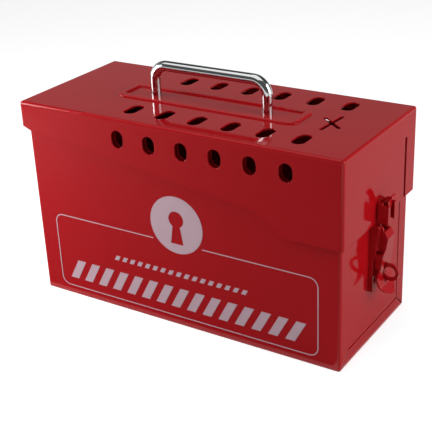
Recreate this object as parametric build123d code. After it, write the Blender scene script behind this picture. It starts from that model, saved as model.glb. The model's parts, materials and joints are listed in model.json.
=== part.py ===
"""Group lockout box: a hinged sheet-steel box with padlock slots, a handle and a padlockable toggle latch.

Millimetres. X runs along the box from the hinge end (-X) to the latch end (+X), Y from front (-Y) to rear,
and Z up. The origin is the centre of the lid's outline on the plane that the box stands on.
"""
import math
import os

from build123d import *

# Sheet metal
sheet = 1.2
bend_radius = 2.0
seam_gap = 1.6
mitre_gap = 0.8
corner_gap = 0.3

# Lid
lid_length = 260.0
lid_width = 113.0
height = 154.0
hinge_end_drop = 19.1
latch_end_drop = 61.5
slant_start_inset = 8.0
slant_start_drop = 21.4
slant_end_x = 67.0
slant_end_drop = 46.8
ramp_end_x = 86.5
ramp_corner_radius = 7.0
end_tab_width = 15.9
end_relief_width = 3.2
end_relief_drop = 17.0

# Gaps between the lid's walls, the body's walls and the body's rim
lid_gap_x = 2.0
lid_gap_y = 2.8
rim_gap = 1.0

# Padlock slots
slots_per_row = 6
slot_pitch = 26.4
first_slot_x = -42.1
top_row_spacing = 69.9
top_slot_length = 18.0
top_slot_width = 9.8
side_slot_drop = 15.2
side_slot_height = 13.0
side_slot_width = 10.0

# Pressed bead round the handle
bead_length = 148.0
bead_width = 30.0
bead_band = 5.5
bead_height = 1.3
bead_corner = 7.0
bead_edge = 0.7

# Cross-shaped key slit
key_slit_x = 93.6
key_slit_width = 3.0
key_slit_lengths = (30.0, 24.5)
key_slit_angles = (85.5, -39.0)

# Body seams on the ends
lower_flange = 12.0
rear_flange = 13.5
lap = 7.0
lap_root = 2.0
front_lip = 12.0

# Handle
handle_diameter = 7.6
handle_span = 92.4
handle_y = -2.0
handle_rise = 23.0
handle_bend = 10.5
thread_diameter = 5.0
thread_clearance = 0.05
thread_hole_clearance = 0.2
thread_end = 1.5
washer_diameter = 12.0
washer_thickness = 1.2
nut_across_flats = 8.0
nut_height = 4.0

# Strip hinge
hinge_lap_gap = 2.0
hinge_knuckles = 7
hinge_knuckle_gap = 0.3
hinge_axis_below_flange = 1.5
hinge_leaf_thickness = 1.2
hinge_pin_clearance = 0.03
hinge_pin_diameter = 2.0
hinge_pin_overrun = 0.6
hinge_body_leaf_height = 24.0
hinge_lid_leaf_height = 15.0
hinge_clearance = 0.3
hinge_notch_margin = 2.0

# Rivets
rivet_diameter = 3.0
rivet_head_diameter = 5.6
rivet_head_height = 1.0
low_head_height = 0.5
rivet_fit = 0.02
hinge_rivet_inset = 8.0
hinge_rivets_per_leaf = 4
hinge_body_rivet_drop = 15.0
hinge_lid_rivet_rise = 9.0
head_rounding = 0.6

# Latch: pivots of its linkage, out from the body's end and up or down from the lid's lower edge
latch_y = -1.3
pivot_out = 5.4
pivot_below_edge = 5.5
bail_pivot_out = 3.8
bail_pivot_below = 13.4
crossbar_out = 6.2
crossbar_above_edge = 13.2
crossbar_diameter = 2.2
side_gap = 0.3
running_clearance = 0.05

# Latch base and padlock eye, with heights below the lever's pivot
base_thickness = 1.5
base_half = 9.5
base_wall = 1.2
base_below = 45.0
base_above = 4.6
base_low_rise = 3.2
base_step_below = 22.5
base_step_length = 2.0
base_step_rise = 4.1
base_top_rise = 7.3
base_wall_corner = 1.5
base_rivets_below = (40.5, 22.4)
ear_thickness = 1.1
ear_radius = 2.4
ear_root_above = 0.5
ear_root_below = 6.5
eye_out = 11.8
eye_below = 31.8
eye_hole_diameter = 8.2
eye_ring_width = 2.2
eye_thickness = 1.8
eye_web_below = 5.5

# Latch lever, with heights below its pivot
lever_sheet = 1.2
lever_shoulder_out = 11.7
lever_shoulder_below = 5.0
lever_nose_out = 9.3
lever_nose_below = 0.5
lever_neck_half = 5.2
lever_skirt_half = 8.0
lever_skirt_top_below = 16.5
lever_skirt_depth = 6.0
lever_skirt_bottom_below = 28.0
lever_flare_out = 7.5
lever_flare_below = 31.8
lever_flare_radius = 19.0
lever_flare_angle = 52.0
lever_bill_half = 11.0
lever_slot_half = 2.0
lever_slot_top_below = 24.8
lever_slot_bottom_below = 39.3
cheek_radius = 2.9
cheek_below = 24.0

# Bail and pins
limb_thickness = 1.1
limb_radius = 1.7
bail_front_out = 11.9
bail_back_out = 6.6
bail_plate_rise = 0.5
bail_plate_height = 12.5
bail_lug_height = 12.0
bail_lug_depth = 1.2
bail_lug_width = 3.2
pin_diameter = 2.3
pin_head_diameter = 3.6
pin_head_height = 0.7
stub_inner_head = 0.4

# Keeper, with heights above the lid's lower edge
keeper_thickness = 1.5
keeper_side_gap = 0.2
keeper_rise = 1.1
keeper_height = 14.2
keeper_corner = 1.5
keeper_rivet_rise = 3.6
keeper_rivet_place_share = 0.58
keeper_rivet_head_share = 0.65
keeper_shank_share = 0.5
hook_half = 3.0
hook_thickness = 1.5
hook_root_rise = 6.5
hook_lip_gap = 1.4
hook_seat_gap = 0.2
hook_curl_radius = 4.5
hook_curl_angle = 65.0
hook_curl_rise = 14.5

# How far a cutting solid runs past the face that it cuts
overrun = 5.0

# Places worked out from the sizes above
lid_top = height
lid_under = lid_top - sheet
body_length = lid_length - 2 * (sheet + lid_gap_x)
body_width = lid_width - 2 * (sheet + lid_gap_y)
body_rim = lid_under - rim_gap
lid_half = lid_length / 2
body_half = body_length / 2
lid_front = -lid_width / 2
body_front = -body_width / 2
body_rear = body_width / 2
hinge_edge_z = lid_top - hinge_end_drop
latch_edge_z = lid_top - latch_end_drop
side_slot_z = lid_top - side_slot_drop
slot_places = [first_slot_x + slot_pitch * i for i in range(slots_per_row)]
row_places = (-top_row_spacing / 2, top_row_spacing / 2)

hinge_length = 2 * (body_rear - rear_flange - lap_root - hinge_lap_gap)
hinge_radius = (sheet + lid_gap_x + hinge_leaf_thickness) / 2
hinge_x = -lid_half + sheet + hinge_radius
hinge_z = hinge_edge_z - hinge_axis_below_flange
hinge_rivet_places = [
    (hinge_length - 2 * hinge_rivet_inset) * (i / (hinge_rivets_per_leaf - 1) - 0.5)
    for i in range(hinge_rivets_per_leaf)
]

base_face = body_half + base_thickness
pivot_x = body_half + pivot_out
pivot_z = latch_edge_z - pivot_below_edge
bail_pivot_x = body_half + bail_pivot_out
bail_pivot_z = pivot_z - bail_pivot_below
crossbar_x = body_half + crossbar_out
crossbar_z = latch_edge_z + crossbar_above_edge
eye_x = body_half + eye_out
eye_z = pivot_z - eye_below
base_bottom_z = pivot_z - base_below
base_top_z = pivot_z + base_above
base_rivet_heights = [pivot_z - below for below in base_rivets_below]
lever_flare_x = body_half + lever_flare_out
lever_flare_z = pivot_z - lever_flare_below
lever_shoulder_x = body_half + lever_shoulder_out
lever_shoulder_z = pivot_z - lever_shoulder_below
cheek_inner = lever_neck_half - lever_sheet
ear_outer = cheek_inner - side_gap
ear_inner = ear_outer - ear_thickness
limb_inner = lever_neck_half + side_gap
limb_outer = limb_inner + limb_thickness
keeper_half = limb_inner - keeper_side_gap
keeper_rivet_z = latch_edge_z + keeper_rivet_rise
keeper_rivet_offset = keeper_half * keeper_rivet_place_share
keeper_rivet_places = (latch_y - keeper_rivet_offset, latch_y + keeper_rivet_offset)
keeper_rivet_head = keeper_half * keeper_rivet_head_share
keeper_rivet_radius = keeper_rivet_head * keeper_shank_share / 2
keeper_rivet_hole = keeper_rivet_radius + rivet_fit
pin_radius = pin_diameter / 2


def block(x0, x1, y0, y1, z0, z1):
    """A box between two corners."""
    middle = Pos((x0 + x1) / 2, (y0 + y1) / 2, (z0 + z1) / 2)
    return middle * Box(x1 - x0, y1 - y0, z1 - z0)


def along_x(x0, x1, y, z, radius):
    """A round bar along X."""
    return Pos((x0 + x1) / 2, y, z) * Rot(0, 90, 0) * Cylinder(radius, x1 - x0)


def along_y(y0, y1, x, z, radius):
    """A round bar along Y."""
    return Pos(x, (y0 + y1) / 2, z) * Rot(90, 0, 0) * Cylinder(radius, y1 - y0)


def side_plate(face, y0, y1):
    """A face drawn in X and Z, given its thickness along Y."""
    return Pos(0, (y0 + y1) / 2, 0) * extrude(Plane.XZ * face, (y1 - y0) / 2, both=True)


def end_plate(face, x0, x1):
    """A face drawn in Y and Z, given its thickness along X."""
    return Pos((x0 + x1) / 2, 0, 0) * extrude(Plane.YZ * face, (x1 - x0) / 2, both=True)


def polygon(points):
    """A flat face through the points."""
    return make_face(Polyline(*points, close=True))


def nearest_corners(face, points):
    """The corners of a flat face that lie nearest the points."""
    return [face.vertices().sort_by_distance(Vector(*point, 0))[0] for point in points]


def rounded_block(length, width, bottom, top, radius, closed_end):
    """A block whose upright edges and closed end are rounded, as folded sheet is."""
    solid = block(-length / 2, length / 2, -width / 2, width / 2, bottom, top)
    edges = solid.edges().filter_by(Axis.Z) + solid.faces().sort_by(Axis.Z)[closed_end].edges()
    return fillet(edges, radius)


def mirrored_in_latch(solid):
    """The same solid on the other side of the latch's middle."""
    return Pos(0, 2 * latch_y, 0) * mirror(solid, about=Plane.XZ)


def latch_pair(solid):
    """A solid on one side of the latch and its twin on the other."""
    return solid + mirrored_in_latch(solid)


# Lid

def lid_outline():
    """The lid seen from the front: deep at the latch end, with a ramp up to a long slant."""
    ramp_top = (slant_end_x, lid_top - slant_end_drop)
    ramp_foot = (ramp_end_x, latch_edge_z)
    face = polygon([
        (-lid_half - overrun, lid_top + overrun),
        (-lid_half - overrun, hinge_edge_z),
        (-lid_half + bend_radius, hinge_edge_z),
        (-lid_half + slant_start_inset, lid_top - slant_start_drop),
        ramp_top,
        ramp_foot,
        (lid_half + overrun, latch_edge_z),
        (lid_half + overrun, lid_top + overrun),
    ])
    return fillet(nearest_corners(face, [ramp_top, ramp_foot]), ramp_corner_radius)


def bead():
    """The raised band of the lid's pressed bead, and the hollow under it."""
    def band(width, bottom, top):
        edge = (bead_band - width) / 2
        outer = RectangleRounded(bead_length - 2 * edge, bead_width - 2 * edge, bead_corner - edge)
        inner = RectangleRounded(
            bead_length - 2 * (edge + width), bead_width - 2 * (edge + width), bead_corner - edge - width
        )
        return Pos(0, 0, bottom) * extrude(outer - inner, top - bottom)
    ridge = band(bead_band, lid_under + sheet / 2, lid_top + bead_height)
    ridge = chamfer(ridge.faces().sort_by(Axis.Z)[-1].edges(), bead_edge)
    hollow = band(bead_band - 2 * sheet, lid_under - overrun, lid_under + bead_height)
    return ridge, hollow


def key_slit():
    """The cross-shaped slit that keys drop through."""
    arms = Part()
    for length, angle in zip(key_slit_lengths, key_slit_angles):
        arm = extrude(SlotOverall(length, key_slit_width), overrun, both=True)
        arms += Pos(key_slit_x, 0, lid_top) * Rot(0, 0, angle) * arm
    return arms


def top_slots():
    """The padlock slots in the lid's top."""
    cutter = extrude(SlotOverall(top_slot_length, top_slot_width, rotation=90), overrun, both=True)
    return [Pos(x, y, lid_top) * cutter for x in slot_places for y in row_places]


def side_slots():
    """The padlock slots through the front and rear walls of both lid and body."""
    slot = SlotOverall(side_slot_height, side_slot_width, rotation=90)
    reach = lid_width / 2 - body_rear + overrun
    cutter = side_plate(slot, -reach, reach)
    return [Pos(x, y, side_slot_z) * cutter for x in slot_places for y in (lid_front, -lid_front)]


def handle_places():
    """The middles of the handle's two feet."""
    return [(-handle_span / 2, handle_y), (handle_span / 2, handle_y)]


def lid_shell():
    """The lid: one folded sheet with its slots, bead, key slit and the gap beside its rear end tab."""
    low = latch_edge_z - overrun
    outer = rounded_block(lid_length, lid_width, low, lid_top, bend_radius, -1)
    inner_length = lid_length - 2 * sheet
    inner_width = lid_width - 2 * sheet
    inner = rounded_block(inner_length, inner_width, low - overrun, lid_under, bend_radius - sheet, -1)
    ridge, hollow = bead()
    lid = (outer - inner) & side_plate(lid_outline(), -lid_width, lid_width)
    lid = lid + ridge - hollow - key_slit() - top_slots() - side_slots()
    relief_y = -lid_front - end_tab_width - end_relief_width
    relief_top = lid_top - end_relief_drop
    lid -= block(
        lid_half - overrun, lid_half + overrun, relief_y, relief_y + end_relief_width, low, relief_top
    )
    hole_radius = thread_diameter / 2 + thread_hole_clearance
    for x, y in handle_places():
        lid -= Pos(x, y, lid_top) * Cylinder(hole_radius, 2 * overrun)
    rivet_hole = rivet_diameter / 2 + rivet_fit
    for y in hinge_rivet_places:
        z = hinge_z + hinge_lid_rivet_rise
        lid -= along_x(-lid_half - overrun, -lid_half + overrun, y, z, rivet_hole)
    for y in keeper_rivet_places:
        lid -= along_x(lid_half - overrun, lid_half + overrun, y, keeper_rivet_z, keeper_rivet_hole)
    return lid


# Body

def body_inside():
    """The hollow of the body, a little taller than its rim."""
    length = body_length - 2 * sheet
    width = body_width - 2 * sheet
    return rounded_block(length, width, sheet, body_rim + overrun, bend_radius - sheet, 0)


def body_skin():
    """Both body sheets together, as one folded shell."""
    return rounded_block(body_length, body_width, 0, body_rim, bend_radius, 0) - body_inside()


def front_sheet_outline(gap, corner):
    """The part of an end that the front sheet covers, drawn back by the seam's and the corner's gap."""
    mitre = math.sqrt(2) * corner
    return polygon([
        (body_front - overrun, -overrun + mitre),
        (body_front + lower_flange + gap - mitre, lower_flange + gap),
        (body_rear - rear_flange - gap, lower_flange + gap),
        (body_rear - rear_flange - gap, body_rim + overrun),
        (body_front - overrun, body_rim + overrun),
    ])


def cut_for_fittings(sheet_part):
    """The holes in a body sheet for slots, the hinge and the latch base."""
    sheet_part -= side_slots()
    notch_half = hinge_length / 2 + hinge_notch_margin
    notch_bottom = hinge_z - hinge_radius - hinge_clearance
    sheet_part -= block(
        -body_half - overrun, -body_half + overrun, -notch_half, notch_half, notch_bottom, height
    )
    rivet_hole = rivet_diameter / 2 + rivet_fit
    for y in hinge_rivet_places:
        z = hinge_z - hinge_body_rivet_drop
        sheet_part -= along_x(-body_half - overrun, -body_half + overrun, y, z, rivet_hole)
    for z in base_rivet_heights:
        sheet_part -= along_x(body_half - overrun, body_half + overrun, latch_y, z, rivet_hole)
    return sheet_part


def body_front_and_ends():
    """The front panel with both ends, and the joggled laps that lie behind the other sheet's flanges."""
    front_outline = front_sheet_outline(seam_gap / 2, corner_gap / 2)
    front = body_skin() & end_plate(front_outline, -body_length, body_length)
    seam_z = lower_flange + seam_gap / 2
    seam_y = body_rear - rear_flange - seam_gap / 2
    inside = sheet + bend_radius
    for side in (-1, 1):
        x0, x1 = sorted((side * (body_half - sheet), side * (body_half - 2 * sheet)))
        low = block(x0, x1, body_front + lower_flange, seam_y + lap, seam_z - lap, seam_z + lap_root)
        rear = block(x0, x1, seam_y - lap_root, seam_y + lap, seam_z - lap, body_rim - inside)
        front += low + rear
    return cut_for_fittings(front)


def body_bottom_and_rear():
    """The bottom and rear panel, with mitred end flanges and a lip behind the front, clear of its bend."""
    front_outline = front_sheet_outline(-seam_gap / 2, -corner_gap / 2)
    rest = body_skin() - end_plate(front_outline, -body_length, body_length)
    seam_corner = (body_rear - rear_flange, lower_flange)
    bend_corner = (body_rear - bend_radius, bend_radius)
    mitre = trace(Line(seam_corner, bend_corner), line_width=mitre_gap)
    for side in (-1, 1):
        x0, x1 = sorted((side * (body_half - 2 * sheet), side * (body_half + overrun)))
        rest -= end_plate(mitre, x0, x1)
    inner_front = body_front + sheet
    inner_half = body_half - 2 * sheet - bend_radius
    lip = block(-inner_half, inner_half, inner_front, inner_front + sheet, 0, front_lip)
    lip -= block(-inner_half, inner_half, inner_front, body_front + bend_radius, 0, bend_radius)
    rest += lip & body_inside()
    return cut_for_fittings(rest)


# Handle

def handle_rod():
    """The bent rod, with a thinner threaded end under each foot."""
    (left, y), (right, _) = handle_places()
    top = lid_top + handle_rise
    points = [(left, y, lid_top), (left, y, top), (right, y, top), (right, y, lid_top)]
    path = FilletPolyline(*points, radius=handle_bend)
    section = Plane((left, y, lid_top)) * Circle(handle_diameter / 2)
    rod = sweep(section, path=path)
    thread_length = sheet + washer_thickness + nut_height + thread_end
    for x, foot_y in handle_places():
        rod += Pos(x, foot_y, lid_top - thread_length / 2) * Cylinder(thread_diameter / 2, thread_length)
    return rod


def handle_washers():
    """A washer under the lid at each foot."""
    bore = thread_diameter / 2 + thread_hole_clearance
    ring = Cylinder(washer_diameter / 2, washer_thickness) - Cylinder(bore, washer_thickness)
    return [Pos(x, y, lid_under - washer_thickness / 2) * ring for x, y in handle_places()]


def handle_nuts():
    """A hexagon nut under each washer."""
    hexagon = RegularPolygon(nut_across_flats / 2, 6, major_radius=False)
    nut = extrude(hexagon, nut_height) - Cylinder(thread_diameter / 2 + thread_clearance, 2 * nut_height)
    bottom = lid_under - washer_thickness - nut_height
    return [Pos(x, y, bottom) * nut for x, y in handle_places()]


# Hinge

def knuckles(first):
    """The lengths along Y of every second knuckle, from the first or the second one."""
    step = hinge_length / hinge_knuckles
    spans = []
    for i in range(first, hinge_knuckles, 2):
        start = -hinge_length / 2 + i * step
        spans.append((start + hinge_knuckle_gap / 2, start + step - hinge_knuckle_gap / 2))
    return spans


def hinge_leaf(first, x0, z_far, rivet_z):
    """A leaf whose knuckles wrap the pin; z_far is the leaf's edge away from the pin."""
    x1 = x0 + hinge_leaf_thickness
    half = hinge_length / 2
    way = 1 if z_far > hinge_z else -1
    z_near = hinge_z + way * (hinge_radius + hinge_clearance)
    low, high = sorted((z_near, z_far))
    leaf = block(x0, x1, -half, half, low, high)
    for y0, y1 in knuckles(first):
        low, high = sorted((hinge_z, z_near))
        leaf += block(x0, x1, y0, y1, low, high) + along_y(y0, y1, hinge_x, hinge_z, hinge_radius)
    leaf -= along_y(-half - overrun, half + overrun, hinge_x, hinge_z, hinge_pin_diameter / 2)
    for y in hinge_rivet_places:
        leaf -= along_x(x0 - overrun, x1 + overrun, y, rivet_z, rivet_diameter / 2 + rivet_fit)
    return leaf


def hinge_body_leaf():
    """The leaf on the inner face of the body's end."""
    return hinge_leaf(
        0, -body_half + sheet, hinge_z - hinge_body_leaf_height, hinge_z - hinge_body_rivet_drop
    )


def hinge_lid_leaf():
    """The leaf on the inner face of the lid's shallow end."""
    return hinge_leaf(1, -lid_half + sheet, hinge_z + hinge_lid_leaf_height, hinge_z + hinge_lid_rivet_rise)


def hinge_pin():
    """The pin through all knuckles."""
    half = hinge_length / 2 + hinge_pin_overrun
    return along_y(-half, half, hinge_x, hinge_z, hinge_pin_diameter / 2 - hinge_pin_clearance)


def rivet(x0, x1, y, z, head_radius, out_height, in_height, radius=rivet_diameter / 2):
    """A rivet along X that clamps from x0 to x1, with a low rounded head at each end."""
    shank = along_x(x0, x1, y, z, radius)
    outer = along_x(x1, x1 + out_height, y, z, head_radius)
    inner = along_x(x0 - in_height, x0, y, z, head_radius)
    outer = fillet(outer.edges().filter_by(GeomType.CIRCLE).sort_by(Axis.X)[-1], out_height * head_rounding)
    inner = fillet(inner.edges().filter_by(GeomType.CIRCLE).sort_by(Axis.X)[0], in_height * head_rounding)
    return shank + outer + inner


def hinge_body_rivets():
    """The rivets through the body's end and the body leaf."""
    z = hinge_z - hinge_body_rivet_drop
    x0 = -body_half
    x1 = x0 + sheet + hinge_leaf_thickness
    head = rivet_head_diameter / 2
    return [rivet(x0, x1, y, z, head, rivet_head_height, low_head_height) for y in hinge_rivet_places]


def hinge_lid_rivets():
    """The rivets through the lid's shallow end and the lid leaf."""
    z = hinge_z + hinge_lid_rivet_rise
    x0 = -lid_half
    x1 = x0 + sheet + hinge_leaf_thickness
    head = rivet_head_diameter / 2
    return [rivet(x0, x1, y, z, head, rivet_head_height, low_head_height) for y in hinge_rivet_places]


# Latch

def stadium(x0, z0, x1, z1, radius):
    """Two circles and the straight band between them, drawn in X and Z."""
    length = math.hypot(x1 - x0, z1 - z0)
    angle = math.degrees(math.atan2(z1 - z0, x1 - x0))
    return Pos((x0 + x1) / 2, (z0 + z1) / 2) * Rot(0, 0, angle) * SlotCenterToCenter(length, 2 * radius)


def latch_base():
    """The channel on the body's end: a plate, two side walls that grow upwards, and two ears inside."""
    plate = Rectangle(2 * base_half, base_top_z - base_bottom_z)
    base = end_plate(Pos(latch_y, (base_top_z + base_bottom_z) / 2) * plate, body_half, base_face)
    step_z = pivot_z - base_step_below
    wall = polygon([
        (body_half, base_bottom_z),
        (body_half + base_low_rise, base_bottom_z),
        (body_half + base_low_rise, step_z),
        (body_half + base_step_rise, step_z + base_step_length),
        (body_half + base_top_rise, base_top_z),
        (body_half, base_top_z),
    ])
    corner = nearest_corners(wall, [(body_half + base_top_rise, base_top_z)])
    wall = fillet(corner, base_wall_corner)
    base += latch_pair(side_plate(wall, latch_y + base_half - base_wall, latch_y + base_half))
    ear = Pos(pivot_x, pivot_z) * Circle(ear_radius)
    root = polygon([
        (body_half, pivot_z - ear_root_below),
        (body_half, pivot_z + ear_root_above),
        (pivot_x, pivot_z + ear_radius),
        (pivot_x, pivot_z - ear_radius),
    ])
    base += latch_pair(side_plate(ear + root, latch_y + ear_inner, latch_y + ear_outer))
    base -= along_y(latch_y - ear_outer, latch_y + ear_outer, pivot_x, pivot_z, pin_radius + rivet_fit)
    hole = rivet_diameter / 2 + rivet_fit
    for z in base_rivet_heights:
        base -= along_x(body_half - overrun, base_face + overrun, latch_y, z, hole)
    return base


def latch_padlock_eye():
    """The upright plate that stands out through the lever's slot, with the hole for a padlock."""
    outer_radius = eye_hole_diameter / 2 + eye_ring_width
    ring = Pos(eye_x, eye_z) * Circle(outer_radius)
    web = polygon([
        (base_face, eye_z - eye_web_below), (base_face, eye_z + eye_web_below),
        (eye_x, eye_z + outer_radius), (eye_x, eye_z - outer_radius),
    ])
    face = ring + web - Pos(eye_x, eye_z) * Circle(eye_hole_diameter / 2)
    return side_plate(face, latch_y - eye_thickness / 2, latch_y + eye_thickness / 2)


def lever_front_x(z):
    """How far out the lever's leaning front is at a height."""
    share = (z - lever_flare_z) / (lever_shoulder_z - lever_flare_z)
    return lever_flare_x + share * (lever_shoulder_x - lever_flare_x)


def lever_profile(inset):
    """The lever's front, shoulder and flared bill seen from the front, filled back to the body's end."""
    nose = (body_half + lever_nose_out, pivot_z - lever_nose_below)
    radius = lever_flare_radius + inset
    centre_x = lever_flare_x + lever_flare_radius
    middle, last = math.radians(lever_flare_angle / 2), math.radians(lever_flare_angle)
    shoulder = (lever_shoulder_x - inset, lever_shoulder_z)
    flare = (lever_flare_x - inset, lever_flare_z)
    halfway = (centre_x - radius * math.cos(middle), lever_flare_z - radius * math.sin(middle))
    tip = (centre_x - radius * math.cos(last), lever_flare_z - radius * math.sin(last))
    outline = Polyline((body_half, tip[1]), (body_half, nose[1] - inset), (nose[0] - inset, nose[1] - inset))
    outline += Line((nose[0] - inset, nose[1] - inset), shoulder)
    outline += Line(shoulder, flare)
    outline += ThreePointArc(flare, halfway, tip)
    outline += Line(tip, (body_half, tip[1]))
    return make_face(outline)


def lever_outline():
    """The lever seen from the end: a narrow neck, a wider skirt and a round bill."""
    bill_tip_z = lever_flare_z - lever_flare_radius * math.sin(math.radians(lever_flare_angle))
    bill_middle_z = bill_tip_z + lever_bill_half
    skirt_top = pivot_z - lever_skirt_top_below
    skirt_bottom = pivot_z - lever_skirt_bottom_below
    half = polygon([
        (0, bill_middle_z), (lever_bill_half, bill_middle_z), (lever_skirt_half, skirt_bottom),
        (lever_skirt_half, skirt_top),
        (lever_neck_half, skirt_top + lever_skirt_half - lever_neck_half),
        (lever_neck_half, height), (0, height),
    ])
    both = half + mirror(half, about=Plane.YZ) + Pos(0, bill_middle_z) * Circle(lever_bill_half)
    return Pos(latch_y, 0) * both


def latch_lever():
    """The leaning front with a flared bill, cheeks on the stub rivets, a skirt, and the slot for the eye."""
    wide = 2 * lever_bill_half
    shell = side_plate(lever_profile(0), latch_y - wide, latch_y + wide)
    hollow = side_plate(lever_profile(lever_sheet), latch_y - wide, latch_y + wide)
    front = (shell - hollow) & end_plate(lever_outline(), body_half, body_half + wide)
    back_x = body_half + lever_nose_out - lever_sheet
    front -= block(body_half, back_x, latch_y - wide, latch_y + wide, lever_shoulder_z, height)
    cheek_bottom = pivot_z - cheek_below
    cheek_back = pivot_x - cheek_radius
    cheek = polygon([
        (cheek_back, pivot_z),
        (cheek_back, bail_pivot_z - cheek_radius),
        (lever_front_x(cheek_bottom) - lever_sheet, cheek_bottom),
        (lever_front_x(cheek_bottom), cheek_bottom),
        (lever_shoulder_x, lever_shoulder_z),
        (body_half + lever_nose_out, pivot_z - lever_nose_below),
        (pivot_x, pivot_z),
    ])
    cheek += Pos(pivot_x, pivot_z) * Circle(cheek_radius)
    cheeks = latch_pair(side_plate(cheek, latch_y + cheek_inner, latch_y + lever_neck_half))
    skirt_top = pivot_z - lever_skirt_top_below
    skirt_bottom = pivot_z - lever_skirt_bottom_below
    skirt = polygon([
        (lever_front_x(skirt_bottom), skirt_bottom),
        (lever_front_x(skirt_top), skirt_top),
        (lever_front_x(skirt_top) - lever_skirt_depth, skirt_top),
        (lever_front_x(skirt_top) - lever_skirt_depth, skirt_bottom),
    ])
    outer = lever_skirt_half
    skirts = latch_pair(side_plate(skirt, latch_y + outer - lever_sheet, latch_y + outer))
    lever = front + cheeks + skirts
    reach = lever_neck_half + overrun
    lever -= along_y(latch_y - reach, latch_y + reach, pivot_x, pivot_z, pin_radius + running_clearance)
    lever -= along_y(latch_y - reach, latch_y + reach, bail_pivot_x, bail_pivot_z, pin_radius + rivet_fit)
    lever -= block(
        body_half, body_half + wide, latch_y - lever_slot_half, latch_y + lever_slot_half,
        pivot_z - lever_slot_bottom_below, pivot_z - lever_slot_top_below,
    )
    return lever


def latch_lever_rivets():
    """The stub rivet on each side that carries the lever on the base's ear, flush with the lever's cheek."""
    inner_head = ear_inner - stub_inner_head
    shank = along_y(latch_y + inner_head, latch_y + lever_neck_half, pivot_x, pivot_z, pin_radius)
    head = along_y(latch_y + inner_head, latch_y + ear_inner, pivot_x, pivot_z, pin_head_diameter / 2)
    one = shank + head
    return [one, mirrored_in_latch(one)]


def latch_bail():
    """Two limbs outside the lever's cheeks, joined by the cross bar, each with a lug turned inwards."""
    front_x = body_half + bail_front_out
    back_x = body_half + bail_back_out
    plate_bottom = latch_edge_z + bail_plate_rise
    plate_top = plate_bottom + bail_plate_height
    limb = stadium(bail_pivot_x, bail_pivot_z, crossbar_x, crossbar_z, limb_radius)
    limb += polygon([
        (back_x, plate_bottom), (front_x, plate_bottom), (front_x, plate_top), (crossbar_x, plate_top),
    ])
    lug = block(
        front_x - bail_lug_depth, front_x, latch_y + limb_outer - bail_lug_width, latch_y + limb_outer,
        plate_top - bail_lug_height, plate_top,
    )
    bail = latch_pair(side_plate(limb, latch_y + limb_inner, latch_y + limb_outer) + lug)
    bar_radius = crossbar_diameter / 2
    bail += along_y(latch_y - limb_outer, latch_y + limb_outer, crossbar_x, crossbar_z, bar_radius)
    hole = pin_radius + running_clearance
    bail -= along_y(latch_y - limb_outer, latch_y + limb_outer, bail_pivot_x, bail_pivot_z, hole)
    return bail


def latch_bail_pin():
    """The pin through the lever's cheeks and the bail's limbs."""
    reach = limb_outer + running_clearance
    pin = along_y(latch_y - reach, latch_y + reach, bail_pivot_x, bail_pivot_z, pin_radius)
    head_end = latch_y + reach + pin_head_height
    head = along_y(latch_y + reach, head_end, bail_pivot_x, bail_pivot_z, pin_head_diameter / 2)
    rim = head.edges().filter_by(GeomType.CIRCLE).sort_by(Axis.Y)[-1]
    return pin + latch_pair(fillet(rim, pin_head_height * head_rounding))


def latch_base_rivets():
    """The rivets through the body's end and the latch base."""
    head = rivet_head_diameter / 2
    x0 = body_half - sheet
    return [
        rivet(x0, base_face, latch_y, z, head, rivet_head_height, rivet_head_height)
        for z in base_rivet_heights
    ]


def keeper():
    """The plate on the lid's end with the hook that the cross bar rests in, curled outwards at its lip."""
    bottom = latch_edge_z + keeper_rise
    plate = RectangleRounded(2 * keeper_half, keeper_height, keeper_corner)
    plate = Pos(latch_y, bottom + keeper_height / 2) * plate
    body = end_plate(plate, lid_half, lid_half + keeper_thickness)
    root_x = lid_half + keeper_thickness / 2
    seat_z = crossbar_z - crossbar_diameter / 2 - hook_seat_gap
    lip_x = crossbar_x + crossbar_diameter / 2 + hook_lip_gap
    out_x = lip_x + hook_thickness
    curl_z = latch_edge_z + hook_curl_rise
    nose = polygon([
        (root_x, latch_edge_z + hook_root_rise), (out_x, seat_z - hook_thickness), (out_x, curl_z),
        (lip_x, curl_z), (lip_x, seat_z), (root_x, seat_z),
    ])
    centre = Pos(out_x + hook_curl_radius, curl_z)
    ring = Circle(hook_curl_radius + hook_thickness) - Circle(hook_curl_radius)
    far = 2 * (hook_curl_radius + hook_thickness)
    last = math.radians(hook_curl_angle)
    wedge = polygon([(0, 0), (-far, 0), (-far, far), (-far * math.cos(last), far * math.sin(last))])
    nose += centre * (ring & wedge)
    body += side_plate(nose, latch_y - hook_half, latch_y + hook_half)
    for y in keeper_rivet_places:
        body -= along_x(lid_half - overrun, lid_half + overrun, y, keeper_rivet_z, keeper_rivet_hole)
    return body


def keeper_rivets():
    """The rivets through the lid's end and the keeper."""
    x0 = lid_half - sheet
    x1 = lid_half + keeper_thickness
    head = keeper_rivet_head / 2
    return [
        rivet(x0, x1, y, keeper_rivet_z, head, low_head_height, low_head_height, keeper_rivet_radius)
        for y in keeper_rivet_places
    ]


nodes = {
    "body_front_and_ends": body_front_and_ends,
    "body_bottom_and_rear": body_bottom_and_rear,
    "lid_shell": lid_shell,
    "handle_rod": handle_rod,
    "handle_washers": handle_washers,
    "handle_nuts": handle_nuts,
    "hinge_body_leaf": hinge_body_leaf,
    "hinge_lid_leaf": hinge_lid_leaf,
    "hinge_pin": hinge_pin,
    "hinge_body_rivets": hinge_body_rivets,
    "hinge_lid_rivets": hinge_lid_rivets,
    "latch_base": latch_base,
    "latch_padlock_eye": latch_padlock_eye,
    "latch_lever": latch_lever,
    "latch_lever_rivets": latch_lever_rivets,
    "latch_bail": latch_bail,
    "latch_bail_pin": latch_bail_pin,
    "latch_base_rivets": latch_base_rivets,
    "keeper": keeper,
    "keeper_rivets": keeper_rivets,
}

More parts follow.
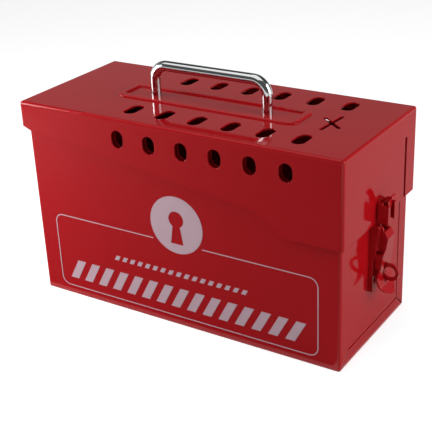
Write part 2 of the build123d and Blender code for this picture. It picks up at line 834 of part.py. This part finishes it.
os.makedirs("parts", exist_ok=True)
for name, make in nodes.items():
    made = make()
    solids = made if isinstance(made, list) else [made]
    export_step(Compound([solid for piece in solids for solid in piece.solids()]), f"parts/{name}.step")
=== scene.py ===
"""Looks, printed marks and studio for a steel group lockout box."""
import json
import math

import bmesh
import bpy
from bpy.props import FloatProperty, FloatVectorProperty, IntProperty, PointerProperty
from mathutils import Euler, Matrix, Vector


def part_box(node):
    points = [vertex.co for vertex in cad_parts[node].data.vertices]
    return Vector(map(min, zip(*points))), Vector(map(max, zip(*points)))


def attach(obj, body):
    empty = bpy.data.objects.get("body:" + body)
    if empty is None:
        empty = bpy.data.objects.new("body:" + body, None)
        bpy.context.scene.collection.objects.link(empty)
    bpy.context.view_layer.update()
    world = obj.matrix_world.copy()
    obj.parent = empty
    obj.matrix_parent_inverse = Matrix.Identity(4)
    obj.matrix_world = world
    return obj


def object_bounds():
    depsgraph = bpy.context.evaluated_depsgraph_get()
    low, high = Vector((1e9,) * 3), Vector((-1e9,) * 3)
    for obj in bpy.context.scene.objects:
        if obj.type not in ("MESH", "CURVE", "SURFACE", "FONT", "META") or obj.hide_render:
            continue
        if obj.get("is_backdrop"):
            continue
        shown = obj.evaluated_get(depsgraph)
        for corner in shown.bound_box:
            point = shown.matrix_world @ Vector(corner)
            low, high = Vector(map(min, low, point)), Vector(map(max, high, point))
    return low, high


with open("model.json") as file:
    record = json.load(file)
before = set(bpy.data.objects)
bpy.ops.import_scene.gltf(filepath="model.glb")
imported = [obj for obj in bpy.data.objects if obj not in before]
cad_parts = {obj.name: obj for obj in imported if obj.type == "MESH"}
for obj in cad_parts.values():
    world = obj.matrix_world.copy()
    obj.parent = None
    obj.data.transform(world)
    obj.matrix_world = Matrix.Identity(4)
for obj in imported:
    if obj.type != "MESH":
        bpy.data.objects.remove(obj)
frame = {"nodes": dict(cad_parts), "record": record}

bl_info = {
    "name": "Group Lockout Box",
    "version": (1, 0, 0),
    "blender": (4, 5, 0),
    "location": "3D View > Sidebar > Lockout Box",
    "description": "Paint, plated parts, printed marks and studio for a steel group lockout box",
    "category": "Object",
}

FRONT_NODE = "body_front_and_ends"

# The keyhole's rise and half foot, as shares of its round part's radius, and its arc's ends in degrees
KEY_RISE = 0.7
KEY_FOOT = 0.85
KEY_ARC = (-60, 240)

# Steps along the badge's circle and the keyhole's arc
BADGE_STEPS = 96
KEY_STEPS = 30

# The roughness of floor and cards, the camera's sensor in millimetres, and what two lamps aim at
STAGE_ROUGHNESS = 0.9
SENSOR_WIDTH = 36.0
MIDDLE = (0, 0, 0.07)

# The grey cards' sides and places, just above the floor
FRONT_CARD = (0.62, (-0.19, -0.366, 0.002))
END_CARD = (0.8, (0.5275, 0.1, 0.002))

# The lamps' places, aims and sides
OVERHEAD_LAMP = ((-0.2, -0.28, 1.4), MIDDLE, 1.45)
FRONT_LAMP = ((-0.48, -0.27, 0.2), (-0.1, -0.05, 0.07), 0.3)
SIDE_LAMP = ((1.0, 0.15, 0.5), MIDDLE, 0.8)

# Where the surroundings change: behind and before by the direction's Y, above by its Z
BEHIND_RAMP = (0.0, 0.25)
ABOVE_RAMP = (0.44, 0.54)
BEFORE_RAMP = (-0.02, -0.3)


# Sockets joined by Python's own operators

class Wire:
    """An output socket of a node tree, which Python's operators join by Math nodes."""

    def __init__(self, tree, socket):
        self.tree = tree
        self.socket = socket

    def maths(self, operation, first, second):
        """A Math node on two values."""
        return node(self.tree, "ShaderNodeMath", {"operation": operation}, {0: first, 1: second})

    def __add__(self, other):
        return self.maths("ADD", self, other)

    def __radd__(self, other):
        return self.maths("ADD", other, self)

    def __sub__(self, other):
        return self.maths("SUBTRACT", self, other)

    def __rsub__(self, other):
        return self.maths("SUBTRACT", other, self)

    def __mul__(self, other):
        return self.maths("MULTIPLY", self, other)

    def __rmul__(self, other):
        return self.maths("MULTIPLY", other, self)


def node(tree, kind, settings=None, values=None, output=0):
    """A node of any kind, with its settings made first and then the values or wires of its sockets."""
    made = tree.nodes.new(kind)
    for name, value in (settings or {}).items():
        setattr(made, name, value)
    for key, value in (values or {}).items():
        socket = made.inputs[key]
        if isinstance(value, Wire):
            tree.links.new(value.socket, socket)
        else:
            socket.default_value = value
    return Wire(tree, made.outputs[output]) if made.outputs else made


def new_material(name):
    """An empty material and its node tree."""
    material = bpy.data.materials.new(name)
    material.use_nodes = True
    material.node_tree.nodes.clear()
    return material, material.node_tree


def close_material(tree, surface):
    """Joins a shader to the material's output."""
    node(tree, "ShaderNodeOutputMaterial", None, {"Surface": surface})


# Materials

def gloss_paint(props):
    """Baked gloss paint with a faint orange peel and softened sheet edges."""
    material, tree = new_material("gloss_paint")
    place = node(tree, "ShaderNodeTexCoord", output="Object")
    peel = node(tree, "ShaderNodeTexNoise", None, {
        "Vector": place, "Scale": 1.0 / props.peel_size, "Detail": 1.0, "Roughness": 0.4,
    })
    waves = node(tree, "ShaderNodeTexNoise", None, {
        "Vector": place, "Scale": 1.0 / props.wave_size, "Detail": 2.0, "Roughness": 0.5,
    })
    edges = node(tree, "ShaderNodeBevel", {"samples": 6}, {"Radius": props.edge_radius})
    ripple = node(tree, "ShaderNodeBump", None, {
        "Strength": 1.0, "Distance": props.peel_depth, "Height": peel, "Normal": edges,
    })
    swell = node(tree, "ShaderNodeBump", None, {
        "Strength": 1.0, "Distance": props.wave_depth, "Height": waves, "Normal": ripple,
    })
    roughness = props.roughness + (waves - 0.5) * props.roughness_spread
    surface = node(tree, "ShaderNodeBsdfPrincipled", None, {
        "Base Color": (*props.colour, 1.0), "Roughness": roughness, "IOR": props.ior, "Normal": swell,
    })
    close_material(tree, surface)
    return material


def bright_chrome(props):
    """Polished chromium plate."""
    material, tree = new_material("bright_chrome")
    place = node(tree, "ShaderNodeTexCoord", output="Object")
    haze = node(tree, "ShaderNodeTexNoise", None, {"Vector": place, "Scale": 1.0 / props.haze_size})
    roughness = props.chrome_roughness + haze * props.haze_spread
    surface = node(tree, "ShaderNodeBsdfPrincipled", None, {
        "Base Color": (*props.chrome_colour, 1.0), "Metallic": 1.0, "Roughness": roughness,
    })
    close_material(tree, surface)
    return material


def zinc_plate(props):
    """Satin zinc plate with a faint grain."""
    material, tree = new_material("zinc_plate")
    place = node(tree, "ShaderNodeTexCoord", output="Object")
    grain = node(tree, "ShaderNodeTexNoise", None, {
        "Vector": place, "Scale": 1.0 / props.grain_size, "Detail": 3.0,
    })
    roughness = props.zinc_roughness + (grain - 0.5) * props.grain_spread
    surface = node(tree, "ShaderNodeBsdfPrincipled", None, {
        "Base Color": (*props.zinc_colour, 1.0), "Metallic": 1.0, "Roughness": roughness,
    })
    close_material(tree, surface)
    return material


def print_ink(props):
    """Opaque white ink laid on the paint."""
    material, tree = new_material("print_ink")
    place = node(tree, "ShaderNodeTexCoord", output="Object")
    mottle = node(tree, "ShaderNodeTexNoise", None, {
        "Vector": place, "Scale": 1.0 / props.mottle_size, "Detail": 2.0,
    })
    thin = tuple(channel * props.thin_share for channel in props.ink)
    colour = node(tree, "ShaderNodeMix", {"data_type": "RGBA"}, {
        0: mottle, 6: (*thin, 1.0), 7: (*props.ink, 1.0),
    }, output=2)
    surface = node(tree, "ShaderNodeBsdfPrincipled", None, {
        "Base Color": colour, "Roughness": props.ink_roughness,
    })
    close_material(tree, surface)
    return material


def shared_ink(props):
    """The ink that all the printed marks share, made the first time that it is asked for."""
    return bpy.data.materials.get("print_ink") or print_ink(props)


# Meshes

def finished_piece(name, mesh, body, material):
    """An object at the origin that rides on a body of the frame."""
    mesh.name = name
    piece = bpy.data.objects.new(name, mesh)
    bpy.context.scene.collection.objects.link(piece)
    if material.name not in [m.name for m in mesh.materials if m]:
        mesh.materials.append(material)
    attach(piece, body)
    return piece


def arc_points(centre, radius, start, end, steps):
    """Points along an arc in X and Z, angles in degrees."""
    spread = [start + (end - start) * i / steps for i in range(steps + 1)]
    return [
        (centre[0] + radius * math.cos(math.radians(a)), centre[1] + radius * math.sin(math.radians(a)))
        for a in spread
    ]


def flat_shape(build, outer, inner, y):
    """A flat area facing the front, from its outline and the outlines of its holes, in X and Z."""
    edges = []
    for loop in [outer, *inner]:
        corners = [build.verts.new((x, y, z)) for x, z in loop]
        edges += [build.edges.new((a, b)) for a, b in zip(corners, corners[1:] + corners[:1])]
    bmesh.ops.triangle_fill(build, use_beauty=True, use_dissolve=False, edges=edges, normal=(0, -1, 0))


def flat_mesh(shapes, y):
    """A mesh of flat areas that all face the front."""
    build = bmesh.new()
    for outer, inner in shapes:
        flat_shape(build, outer, inner, y)
    for face in build.faces:
        face.normal_update()
        if face.normal.y > 0:
            face.normal_flip()
    mesh = bpy.data.meshes.new("flat")
    build.to_mesh(mesh)
    build.free()
    return mesh


def rounded_outline(x0, x1, z0, z1, radius, steps=8):
    """The corners of a rounded rectangle in X and Z."""
    return (
        arc_points((x1 - radius, z0 + radius), radius, -90, 0, steps)
        + arc_points((x1 - radius, z1 - radius), radius, 0, 90, steps)
        + arc_points((x0 + radius, z1 - radius), radius, 90, 180, steps)
        + arc_points((x0 + radius, z0 + radius), radius, 180, 270, steps)
    )


def ink_plane():
    """Where the ink lies: just in front of the body's front panel."""
    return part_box(FRONT_NODE)[0].y - bpy.context.scene.lockbox_print.ink_height


# A row of leaning bars, made by Geometry Nodes

def bar_row_tree(material):
    """A node tree that repeats a leaning bar along a line, facing the front."""
    tree = bpy.data.node_groups.new("bar_row", "GeometryNodeTree")
    for name, kind in (
        ("Count", "NodeSocketInt"), ("Pitch", "NodeSocketFloat"), ("Bar Width", "NodeSocketFloat"),
        ("Bar Height", "NodeSocketFloat"), ("Lean", "NodeSocketFloat"), ("First", "NodeSocketVector"),
    ):
        tree.interface.new_socket(name, in_out="INPUT", socket_type=kind)
    tree.interface.new_socket("Geometry", in_out="OUTPUT", socket_type="NodeSocketGeometry")
    inputs = tree.nodes.new("NodeGroupInput")
    given = {socket.name: Wire(tree, socket) for socket in inputs.outputs if socket.name}
    step = node(tree, "ShaderNodeCombineXYZ", None, {0: given["Pitch"]})
    line = node(tree, "GeometryNodeMeshLine", {"mode": "OFFSET"}, {
        "Count": given["Count"], "Start Location": given["First"], "Offset": step,
    })
    bar = node(tree, "GeometryNodeMeshGrid", None, {
        "Size X": given["Bar Width"], "Size Y": given["Bar Height"], "Vertices X": 2, "Vertices Y": 2,
    })
    spot = node(tree, "GeometryNodeInputPosition")
    height = node(tree, "ShaderNodeSeparateXYZ", None, {0: spot}, output=1)
    shift = node(tree, "ShaderNodeCombineXYZ", None, {0: height * given["Lean"]})
    leaning = node(tree, "GeometryNodeSetPosition", None, {"Geometry": bar, "Offset": shift})
    upright = node(tree, "GeometryNodeTransform", None, {
        "Geometry": leaning, "Rotation": Euler((math.pi / 2, 0, 0)),
    })
    row = node(tree, "GeometryNodeInstanceOnPoints", None, {"Points": line, "Instance": upright})
    real = node(tree, "GeometryNodeRealizeInstances", None, {"Geometry": row})
    coated = node(tree, "GeometryNodeSetMaterial", None, {"Geometry": real, "Material": material})
    outputs = tree.nodes.new("NodeGroupOutput")
    tree.links.new(coated.socket, outputs.inputs["Geometry"])
    return tree


def mesh_from_tree(tree, values):
    """The plain mesh that a node tree makes from the values of its named inputs."""
    host = bpy.data.objects.new("host", bpy.data.meshes.new("host"))
    bpy.context.scene.collection.objects.link(host)
    modifier = host.modifiers.new("tree", "NODES")
    modifier.node_group = tree
    for item in tree.interface.items_tree:
        if item.in_out == "INPUT" and item.name in values:
            modifier[item.identifier] = values[item.name]
    graph = bpy.context.evaluated_depsgraph_get()
    mesh = bpy.data.meshes.new_from_object(host.evaluated_get(graph))
    host.modifiers.remove(modifier)
    bpy.data.objects.remove(host)
    return mesh


# Sizes and colours that can be changed

class LockboxPaint(bpy.types.PropertyGroup):
    """The red paint."""

    colour: FloatVectorProperty(
        name="Colour", description="Colour of the paint", subtype="COLOR", size=3, min=0, max=1,
        default=(0.45, 0.004, 0.008),
    )
    roughness: FloatProperty(
        name="Roughness", description="Mean roughness of the paint", default=0.08, min=0, max=1,
    )
    roughness_spread: FloatProperty(
        name="Roughness spread", description="How far the roughness wanders", default=0.03, min=0, max=1,
    )
    ior: FloatProperty(name="IOR", description="Index of refraction of the paint", default=1.35, min=1)
    peel_size: FloatProperty(
        name="Peel size", description="Size of the orange peel", default=0.0035, unit="LENGTH",
    )
    peel_depth: FloatProperty(
        name="Peel depth", description="Depth of the orange peel", default=0.000006, unit="LENGTH",
        precision=6,
    )
    wave_size: FloatProperty(
        name="Wave size", description="Size of the sheet's broad waves", default=0.09, unit="LENGTH",
    )
    wave_depth: FloatProperty(
        name="Wave depth", description="Depth of the sheet's broad waves", default=0.0003, unit="LENGTH",
        precision=5,
    )
    edge_radius: FloatProperty(
        name="Edge radius", description="How far the paint rounds a cut edge", default=0.0004, unit="LENGTH",
        precision=5,
    )


class LockboxMetal(bpy.types.PropertyGroup):
    """The plated metals."""

    chrome_colour: FloatVectorProperty(
        name="Chrome", description="Colour of the chromium plate", subtype="COLOR", size=3, min=0, max=1,
        default=(0.62, 0.63, 0.64),
    )
    chrome_roughness: FloatProperty(
        name="Chrome roughness", description="Least roughness of the chromium", default=0.03, min=0, max=1,
    )
    haze_size: FloatProperty(
        name="Haze size", description="Size of the chromium's hazy spots", default=0.02, unit="LENGTH",
    )
    haze_spread: FloatProperty(
        name="Haze spread", description="Roughness that the haze adds", default=0.03, min=0, max=1,
    )
    zinc_colour: FloatVectorProperty(
        name="Zinc", description="Colour of the zinc plate", subtype="COLOR", size=3, min=0, max=1,
        default=(0.6, 0.61, 0.62),
    )
    zinc_roughness: FloatProperty(
        name="Zinc roughness", description="Mean roughness of the zinc", default=0.35, min=0, max=1,
    )
    grain_size: FloatProperty(
        name="Grain size", description="Size of the zinc's grain", default=0.001, unit="LENGTH", precision=4,
    )
    grain_spread: FloatProperty(
        name="Grain spread", description="How far the grain changes the roughness", default=0.15, min=0,
        max=1,
    )


class LockboxPrint(bpy.types.PropertyGroup):
    """The marks printed on the front."""

    ink: FloatVectorProperty(
        name="Ink", description="Colour of the ink", subtype="COLOR", size=3, min=0, max=1,
        default=(0.66, 0.46, 0.53),
    )
    ink_roughness: FloatProperty(name="Ink roughness", description="Roughness of the ink", default=0.3)
    ink_height: FloatProperty(
        name="Ink height", description="How far the ink stands off the panel", default=0.00012,
        unit="LENGTH", precision=5,
    )
    mottle_size: FloatProperty(
        name="Mottle size", description="Size of the thin spots in the ink", default=0.01, unit="LENGTH",
    )
    thin_share: FloatProperty(
        name="Thin share", description="How bright the ink is where it is thin", default=0.93, min=0, max=1,
    )
    half_length: FloatProperty(
        name="Half length", description="Half the length of the outline", default=0.111, unit="LENGTH",
    )
    bottom: FloatProperty(
        name="Bottom", description="Height of the outline's lower line", default=0.0075, unit="LENGTH",
    )
    top: FloatProperty(
        name="Top", description="Height of the outline's upper line", default=0.0675, unit="LENGTH",
    )
    line: FloatProperty(
        name="Line", description="Width of the outline", default=0.0008, unit="LENGTH", precision=4,
    )
    corner: FloatProperty(
        name="Corner", description="Radius of the outline's corners", default=0.007, unit="LENGTH",
    )
    badge_x: FloatProperty(
        name="Badge place", description="Place of the badge along the front", default=0.0005, unit="LENGTH",
    )
    badge_z: FloatProperty(
        name="Badge height", description="Height of the badge's middle", default=0.0812, unit="LENGTH",
    )
    badge_radius: FloatProperty(
        name="Badge radius", description="Radius of the badge", default=0.0218, unit="LENGTH",
    )
    badge_gap: FloatProperty(
        name="Badge gap", description="Bare band between badge and outline", default=0.003, unit="LENGTH",
    )
    key_radius: FloatProperty(
        name="Keyhole radius", description="Radius of the keyhole's round part", default=0.0062,
        unit="LENGTH",
    )
    key_length: FloatProperty(
        name="Keyhole length", description="Length of the keyhole below its middle", default=0.0145,
        unit="LENGTH",
    )
    bar_count: IntProperty(name="Bars", description="Number of wide bars", default=15, min=1)
    bar_pitch: FloatProperty(
        name="Bar pitch", description="Distance between wide bars", default=0.0134, unit="LENGTH",
    )
    bar_width: FloatProperty(
        name="Bar width", description="Width of a wide bar", default=0.0074, unit="LENGTH",
    )
    bar_height: FloatProperty(
        name="Bar height", description="Height of a wide bar", default=0.016, unit="LENGTH",
    )
    bar_z: FloatProperty(
        name="Bar place", description="Height of the wide bars' middle", default=0.0232, unit="LENGTH",
    )
    bar_lean: FloatProperty(
        name="Bar lean", description="Shift of a bar for each unit of height", default=0.55,
    )
    dash_count: IntProperty(name="Dashes", description="Number of small dashes", default=17, min=1)
    dash_pitch: FloatProperty(
        name="Dash pitch", description="Distance between small dashes", default=0.0068, unit="LENGTH",
    )
    dash_width: FloatProperty(
        name="Dash width", description="Width of a small dash", default=0.0036, unit="LENGTH",
    )
    dash_height: FloatProperty(
        name="Dash height", description="Height of a small dash", default=0.0038, unit="LENGTH",
    )
    dash_z: FloatProperty(
        name="Dash place", description="Height of the small dashes' middle", default=0.0425, unit="LENGTH",
    )


class LockboxStage(bpy.types.PropertyGroup):
    """Camera, floor and light."""

    camera_place: FloatVectorProperty(
        name="Camera", description="Place of the camera", subtype="TRANSLATION", size=3, unit="LENGTH",
        default=(0.37576, -0.56715, 0.38408),
    )
    camera_turn: FloatVectorProperty(
        name="Camera turn", description="Rotation of the camera", subtype="EULER", size=3, unit="ROTATION",
        default=(math.radians(64.95476), math.radians(2.3986), math.radians(32.46947)),
    )
    lens: FloatProperty(name="Lens", description="Focal length in millimetres", default=84.748)
    floor: FloatVectorProperty(
        name="Floor", description="Colour of the floor", subtype="COLOR", size=3, min=0, max=1,
        default=(0.62, 0.62, 0.62),
    )
    floor_lift: FloatProperty(
        name="Floor lift", description="How much paler the floor looks than it lights", default=0.72, min=0,
    )
    floor_size: FloatProperty(
        name="Floor size", description="Side of the floor", default=12.0, unit="LENGTH",
    )
    front_card: FloatProperty(
        name="Front card", description="Shade of the grey card that the front mirrors", default=0.27, min=0,
    )
    end_card: FloatProperty(
        name="End card", description="Shade of the grey card that the latch end mirrors", default=0.64,
        min=0,
    )
    low: FloatProperty(name="Low", description="Brightness of the other surroundings", default=0.28, min=0)
    ahead: FloatProperty(
        name="Ahead", description="Brightness of the surroundings in front of the box", default=0.1, min=0,
    )
    high: FloatProperty(
        name="High", description="Brightness of the surroundings high behind", default=0.04, min=0,
    )
    overhead: FloatProperty(
        name="Overhead", description="Power of the lamp above", default=7.2, unit="POWER",
    )
    front: FloatProperty(
        name="Front", description="Power of the lamp at the front", default=3.1, unit="POWER",
    )
    side: FloatProperty(
        name="Side", description="Power of the lamp at the side", default=7.0, unit="POWER",
    )


# Operators

def coat_nodes(slot, material):
    """Gives a material to every shown CAD node of a material slot."""
    names = [part["node"] for part in frame["record"]["subparts"] if part["material_slot"] == slot]
    if not names:
        raise RuntimeError(f"no CAD node has the material slot {slot}")
    for name in names:
        mesh = frame["nodes"][name].data
        mesh.materials.clear()
        mesh.materials.append(material)


class LOCKBOX_OT_paint(bpy.types.Operator):
    """Paints the folded sheets, the latch and the keeper"""

    bl_idname = "lockbox.paint"
    bl_label = "Paint the Box"

    def execute(self, context):
        coat_nodes("red_paint", gloss_paint(context.scene.lockbox_paint))
        return {"FINISHED"}


class LOCKBOX_OT_handle(bpy.types.Operator):
    """Plates the carrying handle with chromium"""

    bl_idname = "lockbox.handle"
    bl_label = "Plate the Handle"

    def execute(self, context):
        coat_nodes("chromed_steel", bright_chrome(context.scene.lockbox_metal))
        return {"FINISHED"}


class LOCKBOX_OT_fittings(bpy.types.Operator):
    """Plates the nuts, washers and the other small fittings with zinc"""

    bl_idname = "lockbox.fittings"
    bl_label = "Plate the Fittings"

    def execute(self, context):
        coat_nodes("zinc_plated_steel", zinc_plate(context.scene.lockbox_metal))
        return {"FINISHED"}


class LOCKBOX_OT_badge(bpy.types.Operator):
    """Prints the round badge with a keyhole"""

    bl_idname = "lockbox.badge"
    bl_label = "Print the Badge"

    def execute(self, context):
        props = context.scene.lockbox_print
        centre = (props.badge_x, props.badge_z)
        disc = arc_points(centre, props.badge_radius, 0, 360, BADGE_STEPS)[:-1]
        middle = (centre[0], centre[1] + props.key_radius * KEY_RISE)
        key = arc_points(middle, props.key_radius, *KEY_ARC, KEY_STEPS)
        foot = centre[1] - props.key_length
        foot_half = props.key_radius * KEY_FOOT
        key += [(centre[0] - foot_half, foot), (centre[0] + foot_half, foot)]
        material = shared_ink(props)
        finished_piece("print_badge", flat_mesh([(disc, [key])], ink_plane()), "box", material)
        return {"FINISHED"}


class LOCKBOX_OT_outline(bpy.types.Operator):
    """Prints the thin outline that stops at the badge"""

    bl_idname = "lockbox.outline"
    bl_label = "Print the Outline"

    def execute(self, context):
        props = context.scene.lockbox_print
        half, line = props.half_length, props.line
        reach = props.badge_radius + props.badge_gap
        start = math.sqrt(max(reach ** 2 - (props.badge_z - props.top) ** 2, 0))
        left, right = props.badge_x - start, props.badge_x + start
        outer = rounded_outline(-half, half, props.bottom, props.top, props.corner)
        inner = rounded_outline(-half + line, half - line, props.bottom + line, props.top - line,
                                props.corner - line)
        turn = len(outer) // 2
        ring = outer[:turn] + [(right, props.top), (right, props.top - line)] + inner[:turn][::-1]
        rest = [(left, props.top)] + outer[turn:] + inner[turn:][::-1] + [(left, props.top - line)]
        shapes = [(ring, []), (rest, [])]
        width = outer[0][0], inner[0][0]
        low = [(outer[-1][0], props.bottom), (width[0], props.bottom), (width[1], props.bottom + line),
               (inner[-1][0], props.bottom + line)]
        shapes.append((low, []))
        material = shared_ink(props)
        finished_piece("print_outline", flat_mesh(shapes, ink_plane()), "box", material)
        return {"FINISHED"}


class LOCKBOX_OT_bars(bpy.types.Operator):
    """Prints the row of wide leaning bars and the row of small dashes"""

    bl_idname = "lockbox.bars"
    bl_label = "Print the Bars"

    def execute(self, context):
        props = context.scene.lockbox_print
        material = shared_ink(props)
        tree = bar_row_tree(material)
        for name, count, pitch, width, height, z in (
            ("print_bars", props.bar_count, props.bar_pitch, props.bar_width, props.bar_height, props.bar_z),
            ("print_dashes", props.dash_count, props.dash_pitch, props.dash_width, props.dash_height,
             props.dash_z),
        ):
            first = -pitch * (count - 1) / 2
            mesh = mesh_from_tree(tree, {
                "Count": count, "Pitch": pitch, "Bar Width": width, "Bar Height": height,
                "Lean": props.bar_lean, "First": (first, ink_plane(), z),
            })
            if not mesh.polygons:
                raise RuntimeError(f"the row {name} came out empty")
            finished_piece(name, mesh, "box", material)
        return {"FINISHED"}


def stage_plane(name, size, place, material):
    """A flat square of the stage."""
    mesh = bpy.data.meshes.new(name)
    half = size / 2
    square = [(-half, -half, 0), (half, -half, 0), (half, half, 0), (-half, half, 0)]
    mesh.from_pydata(square, [], [(0, 1, 2, 3)])
    made = bpy.data.objects.new(name, mesh)
    bpy.context.scene.collection.objects.link(made)
    made.matrix_world = Matrix.Translation(place)
    mesh.materials.append(material)
    made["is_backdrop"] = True
    return made


def soft_lamp(name, place, target, size, power):
    """A square lamp aimed at a point."""
    lamp = bpy.data.lights.new(name, "AREA")
    lamp.shape = "SQUARE"
    lamp.size = size
    lamp.energy = power
    made = bpy.data.objects.new(name, lamp)
    bpy.context.scene.collection.objects.link(made)
    made.location = place
    made.rotation_euler = (Vector(target) - Vector(place)).to_track_quat("-Z", "Y").to_euler()
    return made


def smooth_ramp(tree, value, start, end):
    """A wire that rises smoothly from 0 to 1 as a value goes from start to end."""
    return node(tree, "ShaderNodeMapRange", {"interpolation_type": "SMOOTHSTEP"}, {
        0: value, 1: start, 2: end,
    })


class LOCKBOX_OT_stage(bpy.types.Operator):
    """Sets up the floor, the lamps, the surroundings and the camera"""

    bl_idname = "lockbox.stage"
    bl_label = "Set Up the Stage"

    def execute(self, context):
        scene = context.scene
        props = scene.lockbox_stage
        material, tree = new_material("floor")
        rays = "ShaderNodeLightPath"
        seen = node(tree, rays, output="Is Camera Ray") + node(tree, rays, output="Is Glossy Ray")
        seen = seen + node(tree, rays, output="Is Transmission Ray")
        surface = node(tree, "ShaderNodeBsdfPrincipled", None, {
            "Base Color": (*props.floor, 1.0), "Roughness": STAGE_ROUGHNESS, "Specular IOR Level": 0.0,
            "Emission Color": (1.0, 1.0, 1.0, 1.0), "Emission Strength": seen * props.floor_lift,
        })
        close_material(tree, surface)
        stage_plane("floor", props.floor_size, (0, 0, 0), material)

        for name, (size, place), shade in (
            ("front_card", FRONT_CARD, props.front_card),
            ("end_card", END_CARD, props.end_card),
        ):
            grey, tree = new_material(name)
            surface = node(tree, "ShaderNodeBsdfPrincipled", None, {
                "Base Color": (shade, shade, shade, 1.0), "Roughness": STAGE_ROUGHNESS,
                "Specular IOR Level": 0.0,
            })
            close_material(tree, surface)
            card = stage_plane(name, size, place, grey)
            card.visible_camera = False
            card.visible_shadow = False

        soft_lamp("overhead", *OVERHEAD_LAMP, props.overhead)
        soft_lamp("front", *FRONT_LAMP, props.front)
        soft_lamp("side", *SIDE_LAMP, props.side)

        world = bpy.data.worlds.new("surroundings")
        scene.world = world
        world.use_nodes = True
        sky = world.node_tree
        sky.nodes.clear()
        heading = node(sky, "ShaderNodeTexCoord", output="Generated")
        back = node(sky, "ShaderNodeSeparateXYZ", None, {0: heading}, output=1)
        height = node(sky, "ShaderNodeSeparateXYZ", None, {0: heading}, output=2)
        behind = smooth_ramp(sky, back, *BEHIND_RAMP)
        above = smooth_ramp(sky, height, *ABOVE_RAMP)
        before = smooth_ramp(sky, back, *BEFORE_RAMP)
        strength = props.low + behind * above * (props.high - props.low) + before * (props.ahead - props.low)
        light = node(sky, "ShaderNodeBackground", None, {
            "Color": (1.0, 1.0, 1.0, 1.0), "Strength": strength,
        })
        node(sky, "ShaderNodeOutputWorld", None, {"Surface": light})

        view = bpy.data.cameras.new("camera")
        view.lens = props.lens
        view.sensor_width = SENSOR_WIDTH
        camera = bpy.data.objects.new("camera", view)
        scene.collection.objects.link(camera)
        camera.location = props.camera_place
        camera.rotation_euler = props.camera_turn
        scene.camera = camera
        scene.view_settings.view_transform = "Standard"
        return {"FINISHED"}


class LOCKBOX_PT_panel(bpy.types.Panel):
    """Sizes, colours and steps of the lockout box"""

    bl_idname = "LOCKBOX_PT_panel"
    bl_label = "Lockout Box"
    bl_space_type = "VIEW_3D"
    bl_region_type = "UI"
    bl_category = "Lockout Box"

    def draw(self, context):
        layout = self.layout
        for step in STEPS:
            layout.operator(step.bl_idname)
        for name in SETTINGS:
            group = getattr(context.scene, name)
            box = layout.box()
            for key in group.__annotations__:
                box.prop(group, key)


STEPS = (
    LOCKBOX_OT_paint,
    LOCKBOX_OT_handle,
    LOCKBOX_OT_fittings,
    LOCKBOX_OT_badge,
    LOCKBOX_OT_outline,
    LOCKBOX_OT_bars,
    LOCKBOX_OT_stage,
)
SETTINGS = {
    "lockbox_paint": LockboxPaint,
    "lockbox_metal": LockboxMetal,
    "lockbox_print": LockboxPrint,
    "lockbox_stage": LockboxStage,
}


def register():
    """Adds the classes and the scene's settings."""
    for name, group in SETTINGS.items():
        bpy.utils.register_class(group)
        setattr(bpy.types.Scene, name, PointerProperty(type=group))
    for step in (*STEPS, LOCKBOX_PT_panel):
        bpy.utils.register_class(step)


def unregister():
    """Takes the classes and the scene's settings away."""
    for step in reversed((*STEPS, LOCKBOX_PT_panel)):
        bpy.utils.unregister_class(step)
    for name, group in SETTINGS.items():
        delattr(bpy.types.Scene, name)
        bpy.utils.unregister_class(group)


def corners():
    """The shown object's lowest and highest corners as plain lists."""
    return [list(corner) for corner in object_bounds()]


def main():
    """Runs every step in order."""
    register()
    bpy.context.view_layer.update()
    bpy.ops.lockbox.paint()
    bpy.ops.lockbox.handle()
    bpy.ops.lockbox.fittings()
    bpy.ops.lockbox.badge()
    bpy.ops.lockbox.outline()
    bpy.ops.lockbox.bars()
    bpy.ops.lockbox.stage()


if __name__ == "__main__":
    main()
